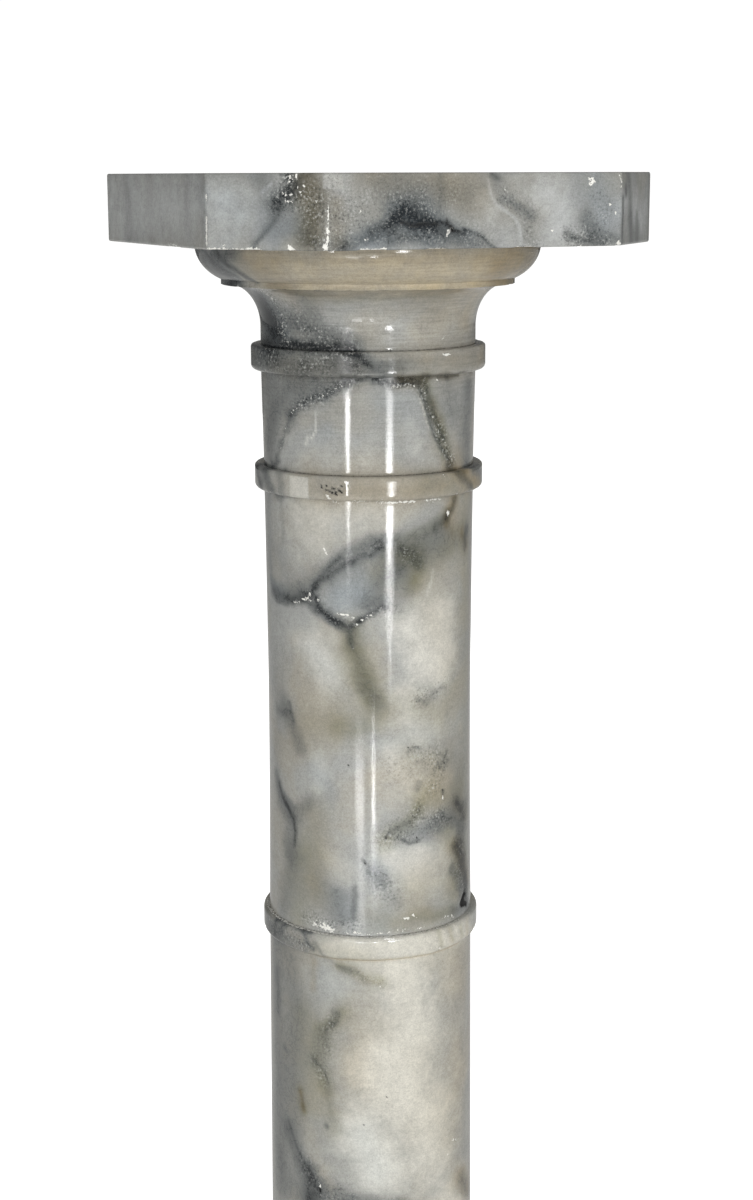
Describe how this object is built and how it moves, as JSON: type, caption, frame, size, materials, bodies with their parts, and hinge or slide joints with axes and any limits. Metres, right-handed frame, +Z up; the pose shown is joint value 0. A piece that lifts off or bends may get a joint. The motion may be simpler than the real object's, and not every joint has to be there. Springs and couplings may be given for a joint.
{
  "type": "column pedestal",
  "caption": "Smooth round veined alabaster column with ringed shaft, bell capital, base, canted square plinth and a flat canted top plate to carry a bust or vase.",
  "frame": {"origin": "middle of the plinth's underside, on the column's own axis", "axes": "+Z up along the column's axis, +X and +Y square to the long sides of the plinth and the top plate; the picture's widest side of the plate looks along -Y"},
  "size_m": [0.3, 0.3, 1],
  "materials": {
    "plate_stone": "polished, worn pale arrises",
    "upper_stone": "polished, grey and brown veins",
    "lower_stone": "polished, pale with soft grey clouds",
    "plinth_stone": "polished, grey"
  },
  "bodies": {
    "root": {"plinth": "plinth_stone", "lower_shaft_and_base": "lower_stone", "upper_shaft_and_capital": "upper_stone", "top_plate": "plate_stone"}
  },
  "joints": []
}
